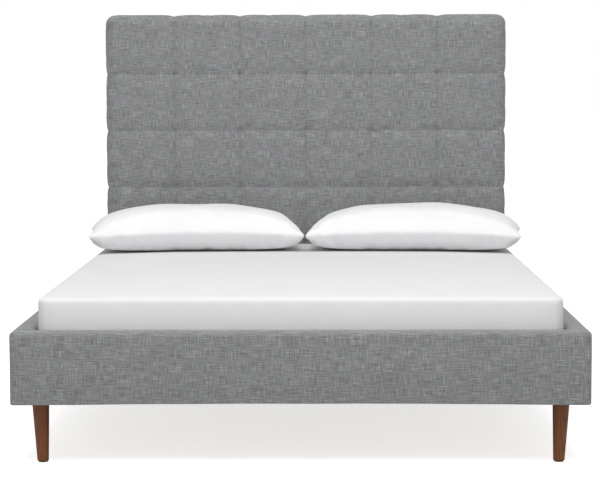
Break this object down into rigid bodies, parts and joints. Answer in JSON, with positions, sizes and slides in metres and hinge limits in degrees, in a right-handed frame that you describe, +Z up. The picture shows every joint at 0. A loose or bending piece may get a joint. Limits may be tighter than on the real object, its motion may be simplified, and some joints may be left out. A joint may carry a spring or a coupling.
{
  "type": "upholstered bed with mattress and pillows",
  "caption": "Grey upholstered bed with a biscuit-tufted headboard, padded rails on tapered wooden legs, a slatted deck, a sheeted mattress and pillows.",
  "frame": {"origin": "on the floor, under the middle of the bed's overall box", "axes": "+Z up, -Y towards the foot of the bed, +Y towards the headboard, +X to the right seen from the foot"},
  "size_m": [1.675, 2.24, 1.363],
  "materials": {
    "upholstery": "mid-grey heathered basket weave with light and dark slubs",
    "foam": "open-cell upholstery foam with a wadding layer",
    "back_cloth": "black non-woven dust cover",
    "pine": "planed softwood, unfinished",
    "slat_timber": "planed softwood with eased edges",
    "plywood": "sheet plywood, unfinished",
    "walnut": "turned, walnut stain, satin lacquer",
    "black_steel": "black powder coat",
    "zinc_steel": "bright zinc plate",
    "felt": "dense brown felt",
    "webbing": "woven polyester tape",
    "glide_plastic": "black moulded nylon",
    "twine": "waxed grey twine with a small washer",
    "mattress_ticking": "knitted white ticking",
    "sheet_cotton": "white cotton percale, pulled taut",
    "pillow_ticking": "white cotton ticking",
    "pillow_cotton": "white cotton percale, softly puckered at the seam"
  },
  "bodies": {
    "frame": {"foot_rail_board": "pine", "left_rail_board": "pine", "right_rail_board": "pine", "head_rail_board": "pine", "left_ledger": "pine", "right_ledger": "pine", "corner_blocks": "pine", "centre_beam": "pine", "centre_leg": "pine", "headboard_top_batten": "pine", "headboard_left_batten": "pine", "headboard_right_batten": "pine", "headboard_left_strut": "pine", "headboard_right_strut": "pine", "slat_01": "slat_timber", "slat_02": "slat_timber", "slat_03": "slat_timber", "slat_04": "slat_timber", "slat_05": "slat_timber", "slat_06": "slat_timber", "slat_07": "slat_timber", "slat_08": "slat_timber", "slat_09": "slat_timber", "slat_10": "slat_timber", "slat_11": "slat_timber", "slat_12": "slat_timber", "headboard_panel": "plywood", "foot_rail_padding": "foam", "left_rail_padding": "foam", "right_rail_padding": "foam", "headboard_foam": "foam", "foot_rail_cover": "upholstery", "left_rail_cover": "upholstery", "right_rail_cover": "upholstery", "head_rail_cover": "upholstery", "headboard_cover": "upholstery", "headboard_back_cover": "back_cloth", "leg_front_left": "walnut", "leg_front_right": "walnut", "leg_rear_left": "walnut", "leg_rear_right": "walnut", "leg_plates": "black_steel", "beam_hangers": "black_steel", "leg_hanger_bolts": "zinc_steel", "rail_bolts": "zinc_steel", "headboard_bolts": "zinc_steel", "frame_screws": "zinc_steel", "centre_leg_insert": "zinc_steel", "leg_pads": "felt", "slat_webbing": "webbing", "tuft_ties": "twine"},
    "mattress": {"mattress_core": "mattress_ticking", "fitted_sheet": "sheet_cotton"},
    "pillow_left": {"pillow_insert_left": "pillow_ticking", "pillowcase_left": "pillow_cotton"},
    "pillow_right": {"pillow_insert_right": "pillow_ticking", "pillowcase_right": "pillow_cotton"},
    "levelling_foot": {"glide_base": "glide_plastic", "glide_stud": "zinc_steel"}
  },
  "joints": [
    {"name": "mattress_lift", "type": "slide", "parent": "frame", "child": "mattress", "axis": [0, 0, 1], "range_m": [0, 0.35]},
    {"name": "pillow_left_lift", "type": "slide", "parent": "mattress", "child": "pillow_left", "axis": [0, 0, 1], "range_m": [0, 0.3]},
    {"name": "pillow_right_lift", "type": "slide", "parent": "mattress", "child": "pillow_right", "axis": [0, 0, 1], "range_m": [0, 0.3]},
    {"name": "foot_turn", "type": "hinge", "parent": "frame", "child": "levelling_foot", "pos_m": [0, 0.15, 0.02], "axis": [0, 0, 1], "continuous": true}
  ]
}
